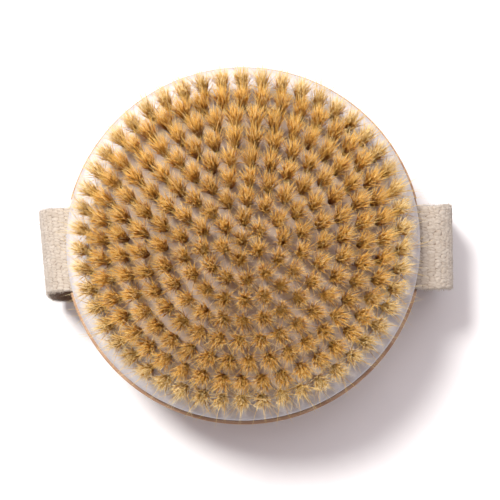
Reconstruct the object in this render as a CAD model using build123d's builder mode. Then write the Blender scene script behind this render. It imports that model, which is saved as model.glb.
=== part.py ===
from build123d import *
import math
import os

# Round dry body brush: a turned wooden back, a moulded plate set with rings of bristle tufts,
# and a webbing strap for the hand.
#
# Millimetres, +Z up. The brush lies bristles up on the run of its strap, and the origin is on
# the ground under the middle of that run. The strap runs along X.

# --- Wooden back ---
back_diameter = 120.0
back_wall_height = 8.0  # straight wall at the rim
back_crown = 9.0  # depth of the rounded shoulder behind the wall
back_shoulder = 34.0  # width of the shoulder, from the rim in to the flat of the back
shoulder_bevels = 4  # the shoulder is turned as this many bevels
face_chamfer = 0.6  # broken edge round the face

# --- Bristle plate ---
plate_margin = 1.5  # ledge of wood left bare round the plate
plate_thickness = 7.0
plate_edge_round = 1.8
plate_edge_bevels = 2  # the edge round is drawn as this many bevels
plate_foot_chamfer = 0.5

# --- Tufts ---
# Each ring starts this share of a tuft spacing clockwise of +Y. The first value is the centre's.
ring_offsets = [0, 0.09, 0.26, 0.38, 0.44, 0.62, 0.66, 0, 0]
outer_ring_inset = 8.1  # from the plate's rim to the outer ring's roots
tuft_height = 22.0  # trimmed tips above the plate
outer_ring_spread = 3.1  # tips of the outer ring stand this far outside their roots
tuft_root_radius = 1.2
tuft_tip_gap = 0.85  # between the tips of neighbours along a row
hole_radius = 1.6
hole_depth = 5.0
bundle_sides = 5  # bundles and their holes are drawn with five flat sides

# --- Anchors: flat wire driven over each folded tuft, biting the wall on both sides ---
anchor_thickness = 0.5
anchor_depth = 1.6
anchor_bite = 0.35
anchor_lift = 0.9  # fold of bristle left under the wire

# --- Hand strap ---
strap_width = 30.0
strap_thickness = 2.4
hand_gap = 26.0  # clear height between the strap and the middle of the back
strap_bulge = 10.0  # the strap's middle line stands this far outside the rim
strap_floor_bend = 14.0  # size of the turn up from the run along the ground
strap_bend_folds = 3  # that turn is drawn as this many straight folds
strap_tail = 17.0  # length of each end held in the back
strap_clearance = 0.3  # each side of the webbing in its rebate

# --- Staples that hold the strap's ends ---
staples_per_end = 3
staple_margin = 1.75  # webbing left outside the outermost staples
staple_gap = 2.0  # between neighbouring staples
staple_wire_width = 1.2
staple_wire_thickness = 0.5
staple_leg = 9.0

# --- Derived heights and radii ---
back_radius = back_diameter / 2
plate_radius = back_radius - plate_margin
back_z = strap_thickness + hand_gap
wall_z = back_z + back_crown
face_z = wall_z + back_wall_height
plate_top_z = face_z + plate_thickness
tip_z = plate_top_z + tuft_height
root_z = plate_top_z - hole_depth
rebate_depth = strap_thickness + staple_wire_thickness
rebate_inner_x = back_radius - strap_tail
strap_top_z = face_z - staple_wire_thickness
staple_x = back_radius - strap_tail / 2
staple_span = strap_width - 2 * staple_margin
staple_crown = (staple_span + staple_gap) / staples_per_end - staple_gap
staple_spacing = staple_crown + staple_gap

# Rings are evenly spaced, and a ring's tufts stand one ring spacing apart.
ring_count = len(ring_offsets) - 1
outer_ring_radius = plate_radius - outer_ring_inset
ring_spacing = outer_ring_radius / ring_count
tip_spacing = (outer_ring_radius + outer_ring_spread) / ring_count
tuft_tip_radius = (tip_spacing - tuft_tip_gap) / 2

os.makedirs("parts", exist_ok=True)


def quarter_round(centre, width, height, bevels):
    """Corners of a quarter ellipse in bevels, from its widest point to its highest. A negative height hangs it."""
    angles = [math.pi / 2 * step / bevels for step in range(bevels + 1)]
    return [(centre[0] + width * math.cos(a), centre[1] + height * math.sin(a)) for a in angles]


def tufts_in(ring):
    """How many tufts fill a ring, one ring spacing apart."""
    return max(1, round(2 * math.pi * ring))


def ring_phase(ring):
    """Angle of a ring's first tuft from +X, in degrees."""
    return 90 - 360 * ring_offsets[ring] / tufts_in(ring)


def root_plane(ring):
    """Plane at the bottom of the ring's first hole, its Z along the tuft, which leans outwards."""
    root_radius = ring_spacing * ring
    lean = outer_ring_spread * ring / ring_count
    return Plane(
        origin=(root_radius, 0, root_z),
        x_dir=(tip_z - plate_top_z, 0, -lean),
        z_dir=(lean, 0, tip_z - plate_top_z),
    )


def tuft_length(ring):
    """Length of a tuft along its own axis, from the bottom of its hole to its trimmed tip."""
    return (tip_z - root_z) / root_plane(ring).z_dir.Z


def fan_angle(ring):
    """Slope of a bundle's sides, in degrees, that takes it from its root to its tip radius."""
    side_growth = (tuft_tip_radius - tuft_root_radius) * math.cos(math.pi / bundle_sides)
    return math.degrees(math.atan(side_growth / tuft_length(ring)))


# --- Bristle bundles and anchors, ring by ring from the middle outwards ---
holes = []
for ring in range(ring_count + 1):
    name = f"ring_{ring}" if ring else "centre"
    base = root_plane(ring)

    # One bundle: folded at the bottom of its hole, fanned out to the trimmed tip.
    with BuildPart() as bundle:
        with BuildSketch(base):
            RegularPolygon(tuft_root_radius, bundle_sides)
        extrude(amount=tuft_length(ring))
        sides = bundle.faces().sort_by(Axis(base.origin, base.z_dir))[1:-1]
        draft(sides, neutral_plane=base, angle=-fan_angle(ring))

    with BuildPart() as tuft_ring:
        with PolarLocations(0, tufts_in(ring), ring_phase(ring)):
            add(bundle.part)
    tuft_ring.part.label = f"tuft_{name}"
    export_step(tuft_ring.part, f"parts/tuft_{name}.step")

    # One flat wire, lying across the fold.
    with BuildPart() as wire:
        with BuildSketch(base.offset(anchor_lift)):
            Rectangle(anchor_thickness, 2 * (hole_radius + anchor_bite))
        extrude(amount=anchor_depth)

    with BuildPart() as anchor_ring:
        with PolarLocations(0, tufts_in(ring), ring_phase(ring)):
            add(wire.part)
    anchor_ring.part.label = f"anchor_{name}"
    export_step(anchor_ring.part, f"parts/anchor_{name}.step")

    # The holes that this ring needs, run out past the plate's top.
    with BuildPart() as hole:
        with BuildSketch(base):
            RegularPolygon(hole_radius, bundle_sides)
        extrude(amount=2 * hole_depth)
    holes.append((hole.part, tufts_in(ring), ring_phase(ring)))

# --- Plate: a round-edged disc, glued to the back, with a leaned hole for each tuft ---
with BuildPart() as bristle_plate:
    with BuildSketch(Plane.XZ):
        with BuildLine():
            edge_centre = (plate_radius - plate_edge_round, plate_top_z - plate_edge_round)
            Polyline(
                (0, face_z),
                (plate_radius - plate_foot_chamfer, face_z),
                (plate_radius, face_z + plate_foot_chamfer),
                *quarter_round(edge_centre, plate_edge_round, plate_edge_round, plate_edge_bevels),
                (0, plate_top_z),
                close=True,
            )
        make_face()
    revolve(axis=Axis.Z)
    for cutter, count, phase in holes:
        with PolarLocations(0, count, phase):
            add(cutter, mode=Mode.SUBTRACT)
bristle_plate.part.label = "bristle_plate"
export_step(bristle_plate.part, "parts/bristle_plate.step")

# --- Wooden back: turned, with a rebate at each side for the end of the strap ---
with BuildPart() as wood_back:
    with BuildSketch(Plane.XZ):
        with BuildLine():
            shoulder_centre = (back_radius - back_shoulder, wall_z)
            Polyline(
                (0, face_z),
                (back_radius - face_chamfer, face_z),
                (back_radius, face_z - face_chamfer),
                *quarter_round(shoulder_centre, back_shoulder, -back_crown, shoulder_bevels),
                (0, back_z),
                close=True,
            )
        make_face()
    revolve(axis=Axis.Z)
    with BuildSketch(Plane.XY.offset(face_z)):
        for side in (-1, 1):
            with Locations((side * (rebate_inner_x + strap_tail), 0)):
                Rectangle(2 * strap_tail, strap_width + 2 * strap_clearance)
    extrude(amount=-rebate_depth, mode=Mode.SUBTRACT)
wood_back.part.label = "wood_back"
export_step(wood_back.part, "parts/wood_back.step")

# --- Hand strap: one band of webbing, held at both ends, round the sides and under the back ---
strap_line_z = strap_top_z - strap_thickness / 2
strap_line_x = back_radius + strap_bulge
bend_centre = (strap_line_x - strap_floor_bend, strap_thickness / 2 + strap_floor_bend)
side_run = [
    (rebate_inner_x, strap_line_z),
    (strap_line_x, strap_line_z),
    *quarter_round(bend_centre, strap_floor_bend, -strap_floor_bend, strap_bend_folds),
]
strap_route = side_run + [(-x, z) for x, z in reversed(side_run)]
corner_radii = [0] * (len(strap_route) - 2)
corner_radii[0] = corner_radii[-1] = strap_bulge
with BuildPart() as hand_strap:
    with BuildLine(Plane.XZ):
        FilletPolyline(*strap_route, radius=corner_radii)
    with BuildSketch(Plane.YZ.offset(rebate_inner_x)):
        with Locations((0, strap_line_z)):
            Rectangle(strap_width, strap_thickness)
    sweep(transition=Transition.RIGHT)
hand_strap.part.label = "hand_strap"
export_step(hand_strap.part, "parts/hand_strap.step")

# --- Staples: flat-wire U, chisel-cut points, crowns flush with the face of the back ---
with BuildPart() as staple:
    with BuildSketch(Plane.YZ):
        half_crown = staple_crown / 2
        inner_half = half_crown - staple_wire_thickness
        with BuildLine():
            Polyline(
                (-half_crown, staple_wire_thickness),
                (half_crown, staple_wire_thickness),
                (half_crown, -staple_leg),
                (inner_half, -staple_leg + staple_wire_thickness),
                (inner_half, 0),
                (-inner_half, 0),
                (-inner_half, -staple_leg + staple_wire_thickness),
                (-half_crown, -staple_leg),
                close=True,
            )
        make_face()
    extrude(amount=staple_wire_width / 2, both=True)

with BuildPart() as strap_staples:
    with Locations((0, 0, strap_top_z)):
        with GridLocations(2 * staple_x, staple_spacing, 2, staples_per_end):
            add(staple.part)
strap_staples.part.label = "strap_staples"
export_step(strap_staples.part, "parts/strap_staples.step")
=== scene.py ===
"""Round body brush lying bristles up on the loop of its webbing strap.

Metres, in the part's own frame: +Z up, the strap along X, the ground at z = 0.
"""

import math

import bmesh
import bpy
import numpy as np
from mathutils import Matrix, Vector


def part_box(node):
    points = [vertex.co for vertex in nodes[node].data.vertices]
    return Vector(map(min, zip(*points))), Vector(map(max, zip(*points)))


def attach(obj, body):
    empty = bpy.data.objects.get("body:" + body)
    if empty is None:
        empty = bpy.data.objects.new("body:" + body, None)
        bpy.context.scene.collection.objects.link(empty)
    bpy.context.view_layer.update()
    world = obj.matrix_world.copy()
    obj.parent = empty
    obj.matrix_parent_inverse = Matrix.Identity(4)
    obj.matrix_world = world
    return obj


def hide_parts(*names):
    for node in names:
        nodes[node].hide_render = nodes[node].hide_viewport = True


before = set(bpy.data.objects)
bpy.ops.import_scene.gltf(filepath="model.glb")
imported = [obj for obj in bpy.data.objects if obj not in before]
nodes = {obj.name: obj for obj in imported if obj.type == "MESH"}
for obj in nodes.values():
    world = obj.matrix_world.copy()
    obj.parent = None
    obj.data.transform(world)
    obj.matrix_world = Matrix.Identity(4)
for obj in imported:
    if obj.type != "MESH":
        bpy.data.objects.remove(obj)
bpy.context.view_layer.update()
MM = 0.001

# ---------------------------------------------------------------- places, read from the frame
back_low, back_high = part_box("wood_back")
plate_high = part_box("bristle_plate")[1]
strap_low, strap_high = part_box("hand_strap")
tuft_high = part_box("tuft_centre")[1]

BACK_RADIUS = back_high.x
BACK_Z, FACE_Z = back_low.z, back_high.z
PLATE_RADIUS = plate_high.x
PLATE_Z = plate_high.z
TIP_Z = tuft_high.z
STRAP_WIDTH = strap_high.y - strap_low.y
STRAP_REACH = strap_high.x
STRAP_TOP_Z = strap_high.z

# ---------------------------------------------------------------- sizes of what is modelled here
SHOULDER_WIDTH = 34.0 * MM
SHOULDER_DEPTH = 9.0 * MM
FACE_ROUND = 0.5 * MM
GROOVE_WIDTH = 0.35 * MM
GROOVE_DEPTH = 0.8 * MM
PLATE_ROUND = 1.7 * MM
PLATE_FOOT = 0.5 * MM
TURNED_SEGMENTS = 160
CENTRE_FLAT = 12.0 * MM

HOLE_RADIUS = 1.05 * MM
HOLE_FLARE = 0.15 * MM
HOLE_DEPTH = 4.5 * MM
HOLE_SIDES = 14

NOTCH_LENGTH = 34.0 * MM
NOTCH_ROOM = 1.6 * MM
NOTCH_SHIFT = -0.5 * MM
NOTCH_CLEARANCE = 0.9 * MM

STRAP_TAIL = 16.0 * MM
STRAP_THICKNESS = 2.0 * MM
STRAP_BEND = 10.0 * MM
STRAP_FLOOR_BEND = 13.0 * MM
RIB_SPACING = 2.2 * MM
LOOP_SPACING = 1.3 * MM
LOOP_RELIEF = 0.26 * MM
FUZZ_COUNT = 4200
FUZZ_LENGTH = 1.1 * MM
FUZZ_RADIUS = 0.035 * MM
FUZZ_CURL = 0.18 * MM
FUZZ_LOWEST = 2.5 * MM
WEBBING_PULL_IN = 0.06
PULL_IN_FROM, PULL_IN_OVER = 0.70 * STRAP_REACH, 0.15 * STRAP_REACH
WEBBING_COLUMNS = 72
WEBBING_STEP = 0.48 * MM
WEBBING_EDGE = 1.0 * MM
STRAP_SLANT = 0.011
RIGHT_SAG, LEFT_SAG = -2.0 * MM, -1.0 * MM
RIGHT_FLOOR_DRIFT, LEFT_FLOOR_DRIFT = 3.0 * MM, -2.4 * MM
LEFT_SKEW, LEFT_SKEW_GROWTH = 0.8 * MM, 1.9 * MM
SKEW_FADE = 0.85

HAIRS_PER_TUFT = 230
HAIR_STEPS = 3
HAIR_SIDES = 3
HAIR_RADIUS = 0.085 * MM
ROOT_RADIUS = 0.75 * MM
ROOT_SINK = 1.5 * MM
TIP_LIMIT = TIP_Z + 1.2 * MM
FAN_RADIUS = 3.9 * MM
TIP_SCATTER = 0.55 * MM
LENGTH_SHIFT, LENGTH_SPREAD = -0.6 * MM, 1.0 * MM
HAIR_BEND = 0.35 * MM
HAIR_WAVE = 0.13 * MM
SHORT_SHARE = 0.2
STRAY_SHARE = 0.16
OUTER_PALER = 0.26
OUTER_FAN_RADIUS = 3.4 * MM
OUTER_STRAY_SHARE = 0.19
STRAY_REACH = 5.4 * MM
OUTER_STRAY_REACH = 8.5 * MM
OUTER_LEAN_BACK = 1.3 * MM
REACH_LIMIT = 61.4 * MM

seeded = np.random.default_rng(20)


# ---------------------------------------------------------------- small helpers
def deselect_all():
    bpy.ops.object.select_all(action="DESELECT")


def make_active(piece):
    deselect_all()
    piece.select_set(True)
    bpy.context.view_layer.objects.active = piece


def apply_modifier(piece, kind, **settings):
    """Adds one modifier with its settings and applies it."""
    make_active(piece)
    modifier = piece.modifiers.new(kind.title(), kind)
    for name, value in settings.items():
        setattr(modifier, name, value)
    bpy.ops.object.modifier_apply(modifier=modifier.name)


def cut_away(piece, cutter):
    """Cuts the cutter out of the piece, and removes the cutter."""
    apply_modifier(piece, "BOOLEAN", object=cutter, operation="DIFFERENCE", solver="EXACT")
    bpy.data.objects.remove(cutter)


def turned(name, rings, segments=TURNED_SEGMENTS):
    """A solid of revolution, drawn up ring by ring from a filled circle, with rings of (radius, height)."""
    deselect_all()
    radius, height = rings[0]
    bpy.ops.mesh.primitive_circle_add(
        vertices=segments, radius=radius, fill_type="NGON", location=(0, 0, 0)
    )
    piece = bpy.context.object
    piece.name = piece.data.name = name
    bpy.ops.object.mode_set(mode="EDIT")
    bpy.ops.mesh.select_all(action="SELECT")
    bpy.ops.transform.translate(value=(0, 0, height))
    for next_radius, next_height in rings[1:]:
        bpy.ops.mesh.extrude_region_move(
            TRANSFORM_OT_translate={"value": (0, 0, next_height - height)}
        )
        scale = next_radius / radius
        bpy.ops.transform.resize(
            value=(scale, scale, 1), center_override=(0, 0, next_height)
        )
        radius, height = next_radius, next_height
    bpy.ops.mesh.select_all(action="SELECT")
    bpy.ops.mesh.normals_make_consistent(inside=False)
    bpy.ops.object.mode_set(mode="OBJECT")
    return piece


def quarter(centre_radius, centre_z, width, height, steps):
    """(radius, height) points of a quarter ellipse, from its widest point to its top or bottom."""
    angles = [math.pi / 2 * s / steps for s in range(steps + 1)]
    return [
        (centre_radius + width * math.cos(a), centre_z + height * math.sin(a))
        for a in angles
    ]


def mesh_piece(name, points, faces):
    """An object from point and face lists, all faces with the same number of corners."""
    mesh = bpy.data.meshes.new(name)
    mesh.vertices.add(len(points))
    mesh.vertices.foreach_set("co", np.asarray(points, np.float32).ravel())
    corners = faces.shape[1]
    mesh.loops.add(faces.size)
    mesh.loops.foreach_set("vertex_index", faces.astype(np.int32).ravel())
    mesh.polygons.add(len(faces))
    mesh.polygons.foreach_set("loop_start", np.arange(0, faces.size, corners, dtype=np.int32))
    mesh.update(calc_edges=True)
    piece = bpy.data.objects.new(name, mesh)
    bpy.context.scene.collection.objects.link(piece)
    return piece


def give_material(piece, material):
    piece.data.materials.clear()
    piece.data.materials.append(material)


# ---------------------------------------------------------------- node helpers
def node(tree, kind, **settings):
    made = tree.nodes.new(kind)
    for name, value in settings.items():
        if name in made.inputs:
            made.inputs[name].default_value = value
        else:
            setattr(made, name, value)
    return made


def link(tree, source, target):
    tree.links.new(source, target)


def ramp(tree, source, stops):
    """A colour ramp over a value, from (position, colour) stops."""
    made = tree.nodes.new("ShaderNodeValToRGB")
    elements = made.color_ramp.elements
    while len(elements) < len(stops):
        elements.new(0.5)
    for element, (position, colour) in zip(elements, stops):
        element.position = position
        element.color = (*colour, 1.0)
    link(tree, source, made.inputs["Fac"])
    return made.outputs["Color"]


def mix(tree, kind, amount, first, second):
    """Mixes two colours; amount, first and second are sockets or constants."""
    made = tree.nodes.new("ShaderNodeMix")
    made.data_type = "RGBA"
    made.blend_type = kind
    made.clamp_factor = True
    for socket, value in zip((made.inputs[0], made.inputs[6], made.inputs[7]), (amount, first, second)):
        if hasattr(value, "is_linked"):
            link(tree, value, socket)
        elif isinstance(value, (int, float)):
            socket.default_value = value
        else:
            socket.default_value = (*value, 1.0)
    return made.outputs[2]


def maths(tree, operation, first, second=0.5, clamp=False):
    made = tree.nodes.new("ShaderNodeMath")
    made.operation = operation
    made.use_clamp = clamp
    for socket, value in zip(made.inputs, (first, second)):
        if hasattr(value, "is_linked"):
            link(tree, value, socket)
        else:
            socket.default_value = value
    return made.outputs[0]


def noise(tree, vector, scale, detail=2.0, roughness=0.5):
    made = node(tree, "ShaderNodeTexNoise", Scale=scale, Detail=detail, Roughness=roughness)
    link(tree, vector, made.inputs["Vector"])
    return made.outputs["Fac"]


def stretched(tree, vector, scale):
    made = tree.nodes.new("ShaderNodeMapping")
    made.inputs["Scale"].default_value = scale
    link(tree, vector, made.inputs["Vector"])
    return made.outputs["Vector"]


def bump(tree, height, strength, distance):
    made = node(tree, "ShaderNodeBump", Strength=strength, Distance=distance)
    link(tree, height, made.inputs["Height"])
    return made.outputs["Normal"]


def new_material(name, roughness, **constants):
    """A material with one Principled shader, and the constants set on its own sockets."""
    material = bpy.data.materials.new(name)
    material.use_nodes = True
    tree = material.node_tree
    shader = tree.nodes["Principled BSDF"]
    shader.inputs["Roughness"].default_value = roughness
    for socket, value in constants.items():
        shader.inputs[socket.replace("_", " ")].default_value = value
    return material, tree, shader


def object_place(tree):
    return tree.nodes.new("ShaderNodeTexCoord").outputs["Object"]


# ---------------------------------------------------------------- shared effects
def speckle_group():
    """Fine uneven tone: broad cloudiness with small specks on it, as a mask about one half."""
    tree = bpy.data.node_groups.new("fine_unevenness", "ShaderNodeTree")
    tree.interface.new_socket("Place", in_out="INPUT", socket_type="NodeSocketVector")
    broad = tree.interface.new_socket("Broad Scale", in_out="INPUT", socket_type="NodeSocketFloat")
    fine = tree.interface.new_socket("Fine Scale", in_out="INPUT", socket_type="NodeSocketFloat")
    broad.default_value, fine.default_value = 40.0, 900.0
    tree.interface.new_socket("Mask", in_out="OUTPUT", socket_type="NodeSocketFloat")
    tree.interface.new_socket("Grit", in_out="OUTPUT", socket_type="NodeSocketFloat")
    into = tree.nodes.new("NodeGroupInput")
    out = tree.nodes.new("NodeGroupOutput")
    cloud = tree.nodes.new("ShaderNodeTexNoise")
    grit = tree.nodes.new("ShaderNodeTexNoise")
    for texture, scale in ((cloud, "Broad Scale"), (grit, "Fine Scale")):
        link(tree, into.outputs["Place"], texture.inputs["Vector"])
        link(tree, into.outputs[scale], texture.inputs["Scale"])
        texture.inputs["Detail"].default_value = 3.0
    both = maths(tree, "MULTIPLY", maths(tree, "ADD", cloud.outputs["Fac"], grit.outputs["Fac"]), 0.5)
    link(tree, both, out.inputs["Mask"])
    link(tree, grit.outputs["Fac"], out.inputs["Grit"])
    return tree


UNEVENNESS = speckle_group()


def unevenness(tree, place, broad, fine):
    made = tree.nodes.new("ShaderNodeGroup")
    made.node_tree = UNEVENNESS
    made.inputs["Broad Scale"].default_value = broad
    made.inputs["Fine Scale"].default_value = fine
    link(tree, place, made.inputs["Place"])
    return made.outputs["Mask"], made.outputs["Grit"]


# ---------------------------------------------------------------- materials
def beech_material():
    material, tree, shader = new_material("oiled_beech", 0.5, Coat_Weight=0.12, Coat_Roughness=0.35)
    place = object_place(tree)
    along = stretched(tree, place, (9.0, 150.0, 60.0))
    grain = noise(tree, along, 3.2, detail=5.0, roughness=0.6)
    rings = node(tree, "ShaderNodeTexWave", wave_type="BANDS", bands_direction="Y")
    rings.inputs["Scale"].default_value = 38.0
    rings.inputs["Distortion"].default_value = 7.0
    rings.inputs["Detail"].default_value = 2.5
    rings.inputs["Detail Scale"].default_value = 0.8
    link(tree, stretched(tree, place, (0.35, 1.0, 1.0)), rings.inputs["Vector"])
    pores = noise(tree, stretched(tree, place, (60.0, 1100.0, 1100.0)), 1.0, detail=2.0)
    flecks = maths(tree, "GREATER_THAN", pores, 0.66)
    broad = maths(tree, "MULTIPLY", rings.outputs["Fac"], 0.22)
    tone = maths(tree, "ADD", maths(tree, "MULTIPLY", grain, 0.78), broad)
    colour = ramp(tree, tone, [
        (0.25, (0.34, 0.170, 0.080)),
        (0.48, (0.46, 0.260, 0.140)),
        (0.62, (0.52, 0.320, 0.185)),
        (0.80, (0.58, 0.390, 0.245)),
    ])
    mask, grit = unevenness(tree, place, 30.0, 700.0)
    clouds = ramp(tree, mask, [(0.35, (0.82, 0.78, 0.74)), (0.6, (1.0, 1.0, 1.0))])
    colour = mix(tree, "MULTIPLY", 0.35, colour, clouds)
    colour = mix(tree, "MIX", maths(tree, "MULTIPLY", flecks, 0.35), colour, (0.34, 0.15, 0.06))
    link(tree, colour, shader.inputs["Base Color"])
    link(tree, ramp(tree, grain, [(0.3, (0.58,) * 3), (0.7, (0.40,) * 3)]), shader.inputs["Roughness"])
    link(tree, bump(tree, maths(tree, "ADD", grain, grit), 0.25, 0.00012), shader.inputs["Normal"])
    return material


def plate_material():
    material, tree, shader = new_material("satin_offwhite_plate", 0.42, Specular_IOR_Level=0.45)
    place = object_place(tree)
    mask, grit = unevenness(tree, place, 55.0, 1500.0)
    colour = ramp(tree, mask, [(0.38, (0.51, 0.485, 0.490)), (0.62, (0.57, 0.545, 0.550))])
    flat = node(tree, "ShaderNodeVectorMath", operation="MULTIPLY")
    flat.inputs[1].default_value = (1.0, 1.0, 0.0)
    link(tree, place, flat.inputs[0])
    radius = node(tree, "ShaderNodeVectorMath", operation="LENGTH")
    link(tree, flat.outputs["Vector"], radius.inputs[0])
    reach = maths(tree, "DIVIDE", radius.outputs["Value"], PLATE_RADIUS)
    # Painted shade and painted golden bounce light from the bristles: the plate is darker and warmer inside
    # the tuft field, and paler out past the tufts.
    painted_canopy_shade = ramp(tree, reach, [(0.76, (0.88, 0.70, 0.53)), (0.90, (1.0, 1.0, 1.0))])
    colour = mix(tree, "MULTIPLY", 1.0, colour, painted_canopy_shade)
    link(tree, colour, shader.inputs["Base Color"])
    link(tree, ramp(tree, mask, [(0.3, (0.36,) * 3), (0.7, (0.50,) * 3)]), shader.inputs["Roughness"])
    link(tree, bump(tree, grit, 0.18, 0.00005), shader.inputs["Normal"])
    return material


def bristle_material():
    """Dark amber at the root to pale straw at the tip, a little different in each hair and tuft."""
    material, tree, shader = new_material("natural_bristle", 0.5, Specular_IOR_Level=0.25)
    read = tree.nodes.new("ShaderNodeAttribute")
    read.attribute_name = "hair"
    parts = tree.nodes.new("ShaderNodeSeparateColor")
    link(tree, read.outputs["Color"], parts.inputs["Color"])
    along, each_hair, each_tuft = parts.outputs
    uneven = maths(tree, "MULTIPLY", maths(tree, "SUBTRACT", each_hair, 0.5), 0.35)
    shifted = maths(tree, "ADD", along, uneven)
    colour = ramp(tree, maths(tree, "MULTIPLY", shifted, 0.8), [
        (0.00, (0.50, 0.185, 0.014)),
        (0.20, (0.65, 0.290, 0.028)),
        (0.44, (0.76, 0.405, 0.064)),
        (0.64, (0.82, 0.520, 0.125)),
        (0.80, (0.86, 0.635, 0.230)),
        (1.00, (0.91, 0.780, 0.480)),
    ])
    pale = maths(tree, "GREATER_THAN", each_hair, 0.86)
    colour = mix(tree, "MIX", maths(tree, "MULTIPLY", pale, 0.5), colour, (0.96, 0.82, 0.54))
    tint = ramp(tree, each_tuft, [
        (0.0, (0.84, 0.80, 0.74)),
        (0.5, (0.97, 0.95, 0.93)),
        (1.0, (1.0, 1.0, 1.0)),
    ])
    colour = mix(tree, "MULTIPLY", 0.8, colour, tint)
    link(tree, colour, shader.inputs["Base Color"])
    return material


def off_centre(tree, value):
    """0 in the middle of each whole step of a value, to 1 at the step's ends."""
    centred = maths(tree, "SUBTRACT", maths(tree, "FRACT", value), 0.5)
    return maths(tree, "MULTIPLY", maths(tree, "ABSOLUTE", centred), 2.0)


def webbing_material():
    """Coarse knitted cotton: loops in ribs, each loop a little different, with hairy yarn on top, and shade
    painted into the knit's gaps and onto the inner face.
    """
    material, tree, shader = new_material(
        "cotton_webbing", 0.92, Sheen_Weight=0.25, Sheen_Roughness=0.5
    )
    read = tree.nodes.new("ShaderNodeAttribute")
    read.attribute_name = "knit"
    parts = tree.nodes.new("ShaderNodeSeparateXYZ")
    link(tree, read.outputs["Vector"], parts.inputs["Vector"])
    rib, loop, outside = parts.outputs
    place = object_place(tree)
    mask, grit = unevenness(tree, place, 160.0, 2600.0)

    rib_number = maths(tree, "FLOOR", rib)
    half_on = maths(tree, "MULTIPLY", maths(tree, "MODULO", rib_number, 2.0), 0.5)
    shifted = maths(tree, "ADD", loop, half_on)
    rib_gap = maths(tree, "MULTIPLY", maths(tree, "POWER", off_centre(tree, rib), 3.0), 0.45)
    loop_gap = maths(tree, "MULTIPLY", maths(tree, "POWER", off_centre(tree, shifted), 2.0), 0.6)
    height = maths(tree, "SUBTRACT", 1.0, maths(tree, "ADD", rib_gap, loop_gap), clamp=True)
    hairy = stretched(tree, place, (900.0, 2000.0, 1200.0))
    fibres = noise(tree, hairy, 1.0, detail=4.0, roughness=0.75)
    hidden = noise(tree, place, 620.0, detail=2.0)
    covered = ramp(tree, hidden, [(0.42, (0.0, 0.0, 0.0)), (0.62, (0.75, 0.75, 0.75))])
    height = maths(tree, "MAXIMUM", height, covered)
    loose = maths(tree, "MULTIPLY", maths(tree, "SUBTRACT", fibres, 0.5), 2.2)
    fuzzy = maths(tree, "ADD", height, loose)

    numbers = tree.nodes.new("ShaderNodeCombineXYZ")
    link(tree, rib_number, numbers.inputs["X"])
    link(tree, maths(tree, "FLOOR", shifted), numbers.inputs["Y"])
    each_loop = tree.nodes.new("ShaderNodeTexWhiteNoise")
    link(tree, numbers.outputs["Vector"], each_loop.inputs["Vector"])

    # Painted shade in the knit: the colour runs from dark in the gaps between loops and ribs to light on
    # the yarn tops.
    colour = ramp(tree, fuzzy, [
        (0.00, (0.25, 0.180, 0.125)),
        (0.22, (0.44, 0.360, 0.285)),
        (0.48, (0.57, 0.490, 0.400)),
        (1.00, (0.68, 0.610, 0.515)),
    ])
    loop_tone = ramp(tree, each_loop.outputs["Value"], [
        (0.0, (0.84, 0.80, 0.76)),
        (1.0, (1.0, 1.0, 1.0)),
    ])
    colour = mix(tree, "MULTIPLY", 0.7, colour, loop_tone)
    patches = ramp(tree, mask, [(0.35, (0.82, 0.79, 0.76)), (0.6, (1.0, 1.0, 1.0))])
    colour = mix(tree, "MULTIPLY", 0.6, colour, patches)
    # Painted shade: the inner face of the band is painted dark brown for the shaded inside of the loop.
    colour = mix(tree, "MIX", outside, (0.26, 0.175, 0.115), colour)
    link(tree, colour, shader.inputs["Base Color"])
    link(tree, bump(tree, maths(tree, "ADD", fuzzy, grit), 0.7, 0.00030), shader.inputs["Normal"])
    return material


def wire_material(name, colour, roughness):
    material, tree, shader = new_material(name, roughness, Metallic=1.0)
    place = object_place(tree)
    drawn = noise(tree, stretched(tree, place, (200.0, 3000.0, 3000.0)), 1.0)
    darker = tuple(c * 0.7 for c in colour)
    link(tree, ramp(tree, drawn, [(0.3, darker), (0.7, colour)]), shader.inputs["Base Color"])
    link(tree, bump(tree, drawn, 0.2, 0.00003), shader.inputs["Normal"])
    return material


def floor_material():
    material, tree, shader = new_material("pale_floor", 0.9)
    place = object_place(tree)
    mask, _ = unevenness(tree, place, 3.0, 60.0)
    colour = ramp(tree, mask, [(0.3, (0.87, 0.865, 0.865)), (0.7, (0.90, 0.895, 0.895))])
    link(tree, colour, shader.inputs["Base Color"])
    return material


BEECH = beech_material()
PLATE = plate_material()
BRISTLE = bristle_material()
WEBBING = webbing_material()
STAPLE_WIRE = wire_material("galvanised_staple_wire", (0.62, 0.62, 0.63), 0.38)
ANCHOR_WIRE = wire_material("plain_anchor_wire", (0.66, 0.66, 0.66), 0.32)


# ---------------------------------------------------------------- bundles of the CAD rings
def turn_from_minus_x(place):
    """Angle round Z from just past -X, so that a bundle on -X itself always comes last."""
    return (math.atan2(place.y, place.x) + math.pi - 1e-4) % (2 * math.pi)


def bundle_axes(ring_node):
    """(root centre, tip centre) of every bundle in a ring, read from the ring's own solids."""
    work = bmesh.new()
    work.from_mesh(ring_node.data)
    bmesh.ops.remove_doubles(work, verts=work.verts, dist=1e-5)
    work.verts.ensure_lookup_table()
    seen, found = set(), []
    for start in work.verts:
        if start in seen:
            continue
        island, front = {start}, [start]
        while front:
            here = front.pop()
            for edge in here.link_edges:
                other = edge.other_vert(here)
                if other not in island:
                    island.add(other)
                    front.append(other)
        seen |= island
        ordered = sorted((v.co.copy() for v in island), key=lambda c: (c.z, c.x, c.y))
        half = len(ordered) // 2
        root = sum(ordered[:half], Vector()) / half
        tip = sum(ordered[half:], Vector()) / (len(ordered) - half)
        found.append((root, tip))
    work.free()
    return sorted(found, key=lambda pair: turn_from_minus_x(pair[0]))


RING_NAMES = ["centre"] + [f"ring_{k}" for k in range(1, 9)]
axes_of = {name: bundle_axes(nodes[f"tuft_{name}"]) for name in RING_NAMES}


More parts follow.
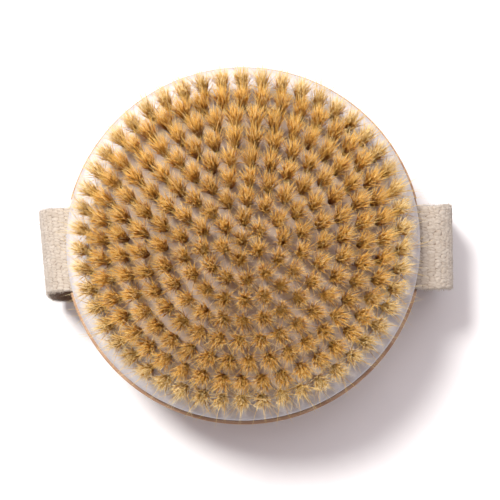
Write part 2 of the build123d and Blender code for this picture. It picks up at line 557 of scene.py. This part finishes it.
# ---------------------------------------------------------------- wooden back
def notch_cutter(side):
    """Block that clears the strap's way out between the plate and the wood, at one end."""
    depth = STRAP_THICKNESS + NOTCH_CLEARANCE
    deselect_all()
    bpy.ops.mesh.primitive_cube_add(size=1)
    cutter = bpy.context.object
    bpy.ops.object.mode_set(mode="EDIT")
    bpy.ops.mesh.select_all(action="SELECT")
    bpy.ops.transform.resize(value=(NOTCH_LENGTH, STRAP_WIDTH + NOTCH_ROOM, 2 * depth))
    bpy.ops.transform.translate(value=(side * BACK_RADIUS, NOTCH_SHIFT, FACE_Z))
    bpy.ops.object.mode_set(mode="OBJECT")
    return cutter


def wooden_back():
    """Turned disc: a shallow curved underside, a softened face edge, and a fine groove round the plate."""
    wall_z = BACK_Z + SHOULDER_DEPTH
    under = quarter(BACK_RADIUS - SHOULDER_WIDTH, wall_z, SHOULDER_WIDTH, -SHOULDER_DEPTH, 16)
    over = quarter(BACK_RADIUS - FACE_ROUND, FACE_Z - FACE_ROUND, FACE_ROUND, FACE_ROUND, 4)
    groove = [
        (PLATE_RADIUS + GROOVE_WIDTH, FACE_Z),
        (PLATE_RADIUS + 0.4 * GROOVE_WIDTH, FACE_Z - GROOVE_DEPTH),
        (PLATE_RADIUS - GROOVE_WIDTH, FACE_Z - GROOVE_DEPTH),
        (PLATE_RADIUS - 1.4 * GROOVE_WIDTH, FACE_Z),
    ]
    rings = [(CENTRE_FLAT, BACK_Z)] + under[::-1] + over + groove
    back = turned("wood_back_turned", rings)
    for side in (-1, 1):
        cut_away(back, notch_cutter(side))
    make_active(back)
    bpy.ops.object.shade_smooth_by_angle(angle=math.radians(35))
    give_material(back, BEECH)
    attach(back, "root")
    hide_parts("wood_back")
    return back


# ---------------------------------------------------------------- bristle plate
def hole_cutters():
    """One joined mesh of drills, each leaned along its tuft, with a small countersink at the mouth."""
    sides = HOLE_SIDES
    levels = [
        (HOLE_RADIUS, -HOLE_DEPTH),
        (HOLE_RADIUS, -HOLE_FLARE),
        (HOLE_RADIUS + HOLE_FLARE, HOLE_FLARE),
    ]
    points, faces = [], []
    for name in RING_NAMES:
        for root, tip in axes_of[name]:
            axis = (tip - root).normalized()
            mouth = root + axis * ((PLATE_Z - root.z) / axis.z)
            turn = Vector((0, 0, 1)).rotation_difference(axis).to_matrix()
            base = len(points)
            for radius, height in levels:
                for s in range(sides):
                    a = 2 * math.pi * s / sides
                    offset = Vector((radius * math.cos(a), radius * math.sin(a), height))
                    points.append(mouth + turn @ offset)
            for level in range(len(levels) - 1):
                for s in range(sides):
                    a, b = base + level * sides + s, base + level * sides + (s + 1) % sides
                    faces.append((a, b, b + sides, a + sides))
            faces.append(tuple(base + s for s in reversed(range(sides))))
            faces.append(tuple(base + (len(levels) - 1) * sides + s for s in range(sides)))
    mesh = bpy.data.meshes.new("hole_cutters")
    mesh.from_pydata([tuple(p) for p in points], [], faces)
    cutters = bpy.data.objects.new("hole_cutters", mesh)
    bpy.context.scene.collection.objects.link(cutters)
    return cutters


def moulded_plate():
    """Light disc with a rounded edge and a leaned hole for every tuft."""
    top = quarter(PLATE_RADIUS - PLATE_ROUND, PLATE_Z - PLATE_ROUND, PLATE_ROUND, PLATE_ROUND, 8)
    rings = [(PLATE_RADIUS - PLATE_FOOT, FACE_Z), (PLATE_RADIUS, FACE_Z + PLATE_FOOT)] + top
    plate = turned("bristle_plate_moulded", rings)
    cut_away(plate, hole_cutters())
    make_active(plate)
    bpy.ops.object.shade_smooth_by_angle(angle=math.radians(40))
    give_material(plate, PLATE)
    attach(plate, "root")
    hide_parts("bristle_plate")
    return plate


# ---------------------------------------------------------------- bristles
def hair_lines(root, tip, draw, fan_radius, stray_share, stray_reach):
    """Centre lines of one tuft's hairs, close at the root and fanned at the tip: (hairs, steps + 1, 3)."""
    count, steps = HAIRS_PER_TUFT, HAIR_STEPS
    axis = (tip - root).normalized()
    start = root + axis * ((PLATE_Z - ROOT_SINK - root.z) / axis.z)
    side = axis.cross(Vector((0.3, 0.9, 0.1))).normalized()
    other = axis.cross(side)
    side, other, axis = np.array(side), np.array(other), np.array(axis)

    angle = draw.uniform(0, 2 * math.pi, count)
    share = np.sqrt(draw.uniform(0, 1, count))
    out = np.stack([np.cos(angle), np.sin(angle)], 1)
    root_offset = out * (share * ROOT_RADIUS)[:, None]
    tip_reach = share**1.5 * fan_radius
    tip_offset = out * tip_reach[:, None] + draw.normal(0, TIP_SCATTER, (count, 2))

    length = np.full(count, (TIP_Z - start.z) / axis[2])
    length = length + draw.normal(LENGTH_SHIFT, LENGTH_SPREAD, count)
    short = draw.uniform(0, 1, count) < SHORT_SHARE
    length[short] *= draw.uniform(0.6, 0.95, short.sum())

    stray = draw.uniform(0, 1, count) < stray_share
    wild = draw.uniform(0, 2 * math.pi, count)
    reach = draw.uniform(0.22, 1.0, count) * stray_reach
    tip_offset[stray] += (np.stack([np.cos(wild), np.sin(wild)], 1) * reach[:, None])[stray]
    length[stray] *= draw.uniform(0.72, 1.0, stray.sum())

    along = np.linspace(0, 1, steps + 1)
    fan = np.where(stray[:, None], along[None] ** 1.7, along[None] ** 1.35)
    bend = draw.normal(0, HAIR_BEND, (count, 2))
    wave = draw.normal(0, HAIR_WAVE, (count, steps + 1, 2)) * along[None, :, None]
    across = (
        root_offset[:, None] * (1 - fan[..., None])
        + tip_offset[:, None] * fan[..., None]
        + bend[:, None] * np.sin(math.pi * along)[None, :, None]
        + wave
    )
    lines = (
        np.array(start)
        + axis * (length[:, None] * along)[..., None]
        + side * across[..., :1]
        + other * across[..., 1:]
    )
    lines[..., 2] = np.minimum(lines[..., 2], TIP_LIMIT)
    reached = np.hypot(lines[..., 0], lines[..., 1])
    lines[..., :2] *= np.minimum(1, REACH_LIMIT / reached)[..., None]
    return lines, along


def hair_tubes(lines, along, draw, tuft_tone, radius=HAIR_RADIUS):
    """Thin three-sided tubes round the lines, each tapering to a point: points, triangles and tones."""
    count, rings = lines.shape[:2]
    tangent = np.gradient(lines, axis=1)
    tangent /= np.linalg.norm(tangent, axis=2, keepdims=True)
    helper = np.zeros_like(tangent)
    helper[..., 0] = 1.0
    first = np.cross(tangent, helper)
    first /= np.linalg.norm(first, axis=2, keepdims=True)
    second = np.cross(tangent, first)
    thick = radius * draw.uniform(0.8, 1.25, count)
    taper = 1.0 - 0.5 * along**1.5
    spin = draw.uniform(0, 2 * math.pi, count)
    body = rings - 1
    points = np.empty((count, body * HAIR_SIDES + 1, 3))
    for s in range(HAIR_SIDES):
        a = spin + 2 * math.pi * s / HAIR_SIDES
        ring = (
            lines
            + (first * np.cos(a)[:, None, None] + second * np.sin(a)[:, None, None])
            * (thick[:, None] * taper[None])[..., None]
        )
        points[:, s : body * HAIR_SIDES : HAIR_SIDES] = ring[:, :body]
    points[:, -1] = lines[:, -1]

    faces = [(0, 2, 1)]
    for level in range(body - 1):
        for s in range(HAIR_SIDES):
            a = level * HAIR_SIDES + s
            b = level * HAIR_SIDES + (s + 1) % HAIR_SIDES
            faces += [(a, b, b + HAIR_SIDES), (a, b + HAIR_SIDES, a + HAIR_SIDES)]
    last = (body - 1) * HAIR_SIDES
    faces += [(last + s, last + (s + 1) % HAIR_SIDES, body * HAIR_SIDES) for s in range(HAIR_SIDES)]
    faces = np.array(faces)

    per_hair = body * HAIR_SIDES + 1
    tones = np.ones((count, per_hair, 4))
    tones[:, : body * HAIR_SIDES, 0] = np.repeat(along[:body], HAIR_SIDES)
    tones[:, -1, 0] = 1.0
    tones[..., 1] = draw.uniform(0, 1, count)[:, None]
    tones[..., 2] = tuft_tone
    triangles = (faces[None] + (np.arange(count) * per_hair)[:, None, None]).reshape(-1, 3)
    return points.reshape(-1, 3), triangles, tones.reshape(-1, 4)


def bristle_ring(name):
    """All the tufts of one ring as one piece; the outermost ring is paler and wilder than the rest."""
    points, triangles, tones, total = [], [], [], 0
    outermost = name == RING_NAMES[-1]
    paler = OUTER_PALER if outermost else 0.0
    fan_radius = OUTER_FAN_RADIUS if outermost else FAN_RADIUS
    stray_share = OUTER_STRAY_SHARE if outermost else STRAY_SHARE
    stray_reach = OUTER_STRAY_REACH if outermost else STRAY_REACH
    for root, tip in axes_of[name]:
        if outermost:
            tip = tip - Vector((tip.x, tip.y, 0)).normalized() * OUTER_LEAN_BACK
        lines, along = hair_lines(root, tip, seeded, fan_radius, stray_share, stray_reach)
        p, t, c = hair_tubes(lines, along, seeded, seeded.uniform())
        points.append(p)
        triangles.append(t + total)
        c[:, 0] += paler
        tones.append(c)
        total += len(p)
    piece = mesh_piece(f"bristles_{name}", np.concatenate(points), np.concatenate(triangles))
    layer = piece.data.attributes.new("hair", "FLOAT_COLOR", "POINT")
    layer.data.foreach_set("color", np.concatenate(tones).astype(np.float32).ravel())
    piece.data.polygons.foreach_set("use_smooth", np.ones(len(piece.data.polygons), bool))
    give_material(piece, BRISTLE)
    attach(piece, "root")
    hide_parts(f"tuft_{name}")
    return piece


# ---------------------------------------------------------------- webbing strap
def strap_route():
    """Right half of the strap's middle line, as (x, z) places from its tail round to below the back."""
    top_z = STRAP_TOP_Z - 0.5 * STRAP_THICKNESS
    low_z = 0.5 * STRAP_THICKNESS
    side_x = STRAP_REACH - 0.5 * STRAP_THICKNESS
    inner_x = BACK_RADIUS - STRAP_TAIL
    runs = [
        ("line", (inner_x, top_z), (side_x - STRAP_BEND, top_z)),
        ("arc", (side_x - STRAP_BEND, top_z - STRAP_BEND), STRAP_BEND, 90, 0),
        ("line", (side_x, top_z - STRAP_BEND), (side_x, low_z + STRAP_FLOOR_BEND)),
        ("arc", (side_x - STRAP_FLOOR_BEND, low_z + STRAP_FLOOR_BEND), STRAP_FLOOR_BEND, 0, -90),
        ("line", (side_x - STRAP_FLOOR_BEND, low_z), (0.0, low_z)),
    ]
    places = []
    for kind, *run in runs:
        if kind == "line":
            (x0, z0), (x1, z1) = run
            for s in np.linspace(0, 1, 400):
                places.append((x0 + (x1 - x0) * s, z0 + (z1 - z0) * s))
        else:
            (cx, cz), radius, start, end = run
            for a in np.radians(np.linspace(start, end, 400)):
                places.append((cx + radius * math.cos(a), cz + radius * math.sin(a)))
    return np.array(places)


def even_steps(route, step):
    """The route again at even steps, and its length."""
    gaps = np.r_[0, np.cumsum(np.linalg.norm(np.diff(route, axis=0), axis=1))]
    count = int(round(gaps[-1] / step))
    wanted = np.linspace(0, gaps[-1], count + 1)
    return np.stack([np.interp(wanted, gaps, route[:, k]) for k in range(2)], 1), gaps[-1]


def knit_places(u, v, draw):
    """Rib and loop numbers over the webbing, u along it and v across it, wandering as yarn does."""
    rib, loop = u / RIB_SPACING, v / LOOP_SPACING
    wander = np.zeros((2, *u.shape))
    for axis in range(2):
        for _ in range(7):
            pace = draw.uniform(0.7, 2.6, 2)
            phase = draw.uniform(0, 2 * math.pi)
            wander[axis] += 0.075 * np.sin(pace[0] * rib + pace[1] * loop + phase)
    return rib + 0.8 * wander[0], loop + 1.2 * wander[1]


def knit_height(rib, loop):
    """Relief of the knit, 0 in the gaps to 1 on the yarns; every other rib is half a loop on."""
    shifted = loop + 0.5 * (np.floor(rib) % 2)
    across_rib = np.abs((rib % 1.0) - 0.5) * 2
    across_loop = np.abs((shifted % 1.0) - 0.5) * 2
    return np.clip(1 - 0.45 * across_rib**3 - 0.6 * across_loop**2, 0, 1)


def strap_lie(route, v):
    """How the real strap lies off its plain route: its shifts along X and Y, and its width as a share."""
    beyond = np.clip((np.abs(route[:, :1]) - PULL_IN_FROM) / PULL_IN_OVER, 0, 1)
    outside = beyond * beyond * (3 - 2 * beyond)
    low = np.clip(1 - route[:, 1:] / STRAP_TOP_Z, 0, 1)
    right = np.clip(0.5 + route[:, :1] / STRAP_REACH, 0, 1)
    sag = RIGHT_SAG * right + LEFT_SAG * (1 - right)
    floor_drift = RIGHT_FLOOR_DRIFT * right + LEFT_FLOOR_DRIFT * (1 - right)
    drift = STRAP_SLANT * route[:, :1] + sag * outside * (1 - low) + floor_drift * low
    left = np.clip(-route[:, :1] / STRAP_REACH, 0, 1) ** 3
    growth = LEFT_SKEW_GROWTH * (1 - v / (0.5 * STRAP_WIDTH))
    skew = left * (1 - SKEW_FADE * low) * (LEFT_SKEW + growth)
    return skew, drift, 1 - WEBBING_PULL_IN * outside


def sheet_faces(count, columns):
    """Faces of a thick sheet: the outer grid, the inner grid turned round, and the rim between them."""
    grid = np.arange(count * columns).reshape(count, columns)
    a, b, c, d = grid[:-1, :-1], grid[1:, :-1], grid[1:, 1:], grid[:-1, 1:]
    outer_faces = np.stack([a, b, c, d], 2).reshape(-1, 4)
    inner_faces = outer_faces[:, ::-1] + grid.size
    rim = np.concatenate([grid[:, 0], grid[-1, 1:], grid[::-1, -1][1:], grid[0, ::-1][1:-1]])
    following = np.roll(rim, -1)
    rim_faces = np.stack([following, rim, rim + grid.size, following + grid.size], 1)
    return np.concatenate([outer_faces, inner_faces, rim_faces])


def webbing_strap():
    """The knitted band from one tail round below the back to the other, as one closed thick sheet."""
    half, half_length = even_steps(strap_route(), WEBBING_STEP)
    route = np.concatenate([half, half[::-1][1:] * (-1, 1)])
    along = np.linspace(0, 2 * half_length, len(route))
    tangent = np.gradient(route, axis=0)
    tangent /= np.linalg.norm(tangent, axis=1, keepdims=True)
    outward = np.stack([-tangent[:, 1], tangent[:, 0]], 1)
    across = np.linspace(-0.5, 0.5, WEBBING_COLUMNS + 1) * STRAP_WIDTH

    u, v = np.meshgrid(along, across, indexing="ij")
    rib, loop = knit_places(u, v, seeded)
    relief = knit_height(rib, loop)
    edge = np.clip((0.5 - np.abs(v) / STRAP_WIDTH) * STRAP_WIDTH / WEBBING_EDGE, 0, 1)
    round_edge = np.sqrt(np.clip(1 - (1 - edge) ** 2, 0, 1))
    skew, drift, narrowing = strap_lie(route, v)

    def face(side):
        thick = 0.5 * STRAP_THICKNESS * (0.25 + 0.75 * round_edge) - 0.5 * LOOP_RELIEF
        lift = thick + LOOP_RELIEF * (relief - 0.5) * round_edge
        x = route[:, :1] + side * outward[:, :1] * lift + skew
        z = route[:, 1:] + side * outward[:, 1:] * lift
        return np.stack([x, v * narrowing + drift, z], 2).reshape(-1, 3)

    points = np.concatenate([face(1), face(-1)])
    strap = mesh_piece("hand_strap_webbing", points, sheet_faces(*v.shape))

    knit = np.zeros((2, v.size, 3))
    knit[..., 0] = rib.ravel()
    knit[..., 1] = loop.ravel()
    # The third channel is 1 on the outer face and 0 on the inner face, which the webbing material paints
    # dark as painted shade.
    knit[0, :, 2] = 1.0
    layer = strap.data.attributes.new("knit", "FLOAT_VECTOR", "POINT")
    layer.data.foreach_set("vector", knit.astype(np.float32).ravel())
    make_active(strap)
    bpy.ops.object.mode_set(mode="EDIT")
    bpy.ops.mesh.select_all(action="SELECT")
    bpy.ops.mesh.normals_make_consistent(inside=False)
    bpy.ops.object.mode_set(mode="OBJECT")
    bpy.ops.object.shade_smooth()
    give_material(strap, WEBBING)
    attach(strap, "root")
    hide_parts("hand_strap")
    return strap


def webbing_fuzz(strap):
    """Short loose fibres standing off the yarn, most of them along the two edges of the webbing."""
    mesh = strap.data
    places = np.empty(len(mesh.vertices) * 3, np.float32)
    mesh.vertices.foreach_get("co", places)
    outward = np.empty(len(mesh.vertices) * 3, np.float32)
    mesh.vertices.foreach_get("normal", outward)
    places, outward = places.reshape(-1, 3), outward.reshape(-1, 3)
    at = np.arange(len(places)) % (WEBBING_COLUMNS + 1)
    near_edge = np.minimum(at, WEBBING_COLUMNS - at) < 2
    off_floor = places[:, 2] > FUZZ_LOWEST
    free = off_floor & (np.abs(places[:, 0]) > BACK_RADIUS)
    edge, open_face = np.flatnonzero(free & near_edge), np.flatnonzero(free & ~near_edge)
    half = FUZZ_COUNT // 2
    chosen = np.concatenate([seeded.choice(edge, half), seeded.choice(open_face, FUZZ_COUNT - half)])

    reach = outward[chosen] + seeded.normal(0, 0.75, (FUZZ_COUNT, 3))
    reach[:half, 1] += 1.2 * np.sign(places[chosen[:half], 1])
    reach /= np.linalg.norm(reach, axis=1, keepdims=True)
    reach *= (FUZZ_LENGTH * seeded.uniform(0.35, 1.0, FUZZ_COUNT))[:, None]
    curl = seeded.normal(0, FUZZ_CURL, (FUZZ_COUNT, 1, 3))
    along = np.linspace(0, 1, 4)
    lines = places[chosen][:, None] + reach[:, None] * along[None, :, None]
    lines = lines + curl * np.sin(math.pi * along)[None, :, None]
    lines[..., 0] = np.clip(lines[..., 0], -STRAP_REACH, STRAP_REACH)
    points, triangles, _ = hair_tubes(lines, along, seeded, 0.5, FUZZ_RADIUS)

    fuzz = mesh_piece("hand_strap_fibres", points, triangles)
    knit = np.tile(np.array([0.5, 0.5, 1.0], np.float32), len(points))
    fuzz.data.attributes.new("knit", "FLOAT_VECTOR", "POINT").data.foreach_set("vector", knit)
    give_material(fuzz, WEBBING)
    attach(fuzz, "root")
    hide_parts("hand_strap")
    return fuzz


# ---------------------------------------------------------------- build the object
wooden_back()
moulded_plate()
for ring_name in RING_NAMES:
    bristle_ring(ring_name)
webbing_fuzz(webbing_strap())
give_material(nodes["strap_staples"], STAPLE_WIRE)
for ring_name in RING_NAMES:
    give_material(nodes[f"anchor_{ring_name}"], ANCHOR_WIRE)


# ---------------------------------------------------------------- floor, light and camera
def floor():
    deselect_all()
    bpy.ops.mesh.primitive_plane_add(size=6.0, location=(0, 0, -0.0002))
    ground = bpy.context.object
    ground.name = "floor"
    give_material(ground, floor_material())


def lamp(name, place, target, size, power, colour):
    light = bpy.data.lights.new(name, "AREA")
    light.shape = "DISK"
    light.size = size
    light.energy = power
    light.color = colour
    holder = bpy.data.objects.new(name, light)
    holder.location = place
    holder.rotation_mode = "QUATERNION"
    holder.rotation_quaternion = (Vector(target) - Vector(place)).to_track_quat("-Z", "Y")
    bpy.context.scene.collection.objects.link(holder)


def studio():
    lamp("key", (-0.345, 0.375, 1.18), (0, 0, 0.03), 0.28, 16.8, (1.0, 0.975, 0.95))
    lamp("overhead_fill", (0.10, 0.34, 1.5), (0, 0, 0), 1.2, 10.8, (1.0, 0.93, 0.96))
    world = bpy.data.worlds.new("studio")
    world.use_nodes = True
    background = world.node_tree.nodes["Background"]
    background.inputs["Color"].default_value = (1.0, 0.90, 0.96, 1)
    background.inputs["Strength"].default_value = 0.28
    bpy.context.scene.world = world
    bpy.context.scene.view_settings.view_transform = "Standard"


def camera():
    """A long lens nearly overhead, a little nearer the lower side of the brush."""
    distance, tilt = 0.460, math.radians(5.2)
    target = Vector((2.4 * MM, -2.7 * MM, PLATE_Z))
    lean = Vector((26, -122, 0)).normalized()
    place = target + distance * (lean * math.sin(tilt) + Vector((0, 0, math.cos(tilt))))
    back = (place - target).normalized()
    right = Vector((0, 1, 0)).cross(back).normalized()
    up = back.cross(right)
    lens = bpy.data.cameras.new("camera")
    lens.lens = 100.7
    lens.sensor_width = 36.0
    lens.clip_start = 0.01
    holder = bpy.data.objects.new("camera", lens)
    holder.matrix_world = Matrix.Translation(place) @ Matrix((right, up, back)).transposed().to_4x4()
    bpy.context.scene.collection.objects.link(holder)
    bpy.context.scene.camera = holder


floor()
studio()
camera()
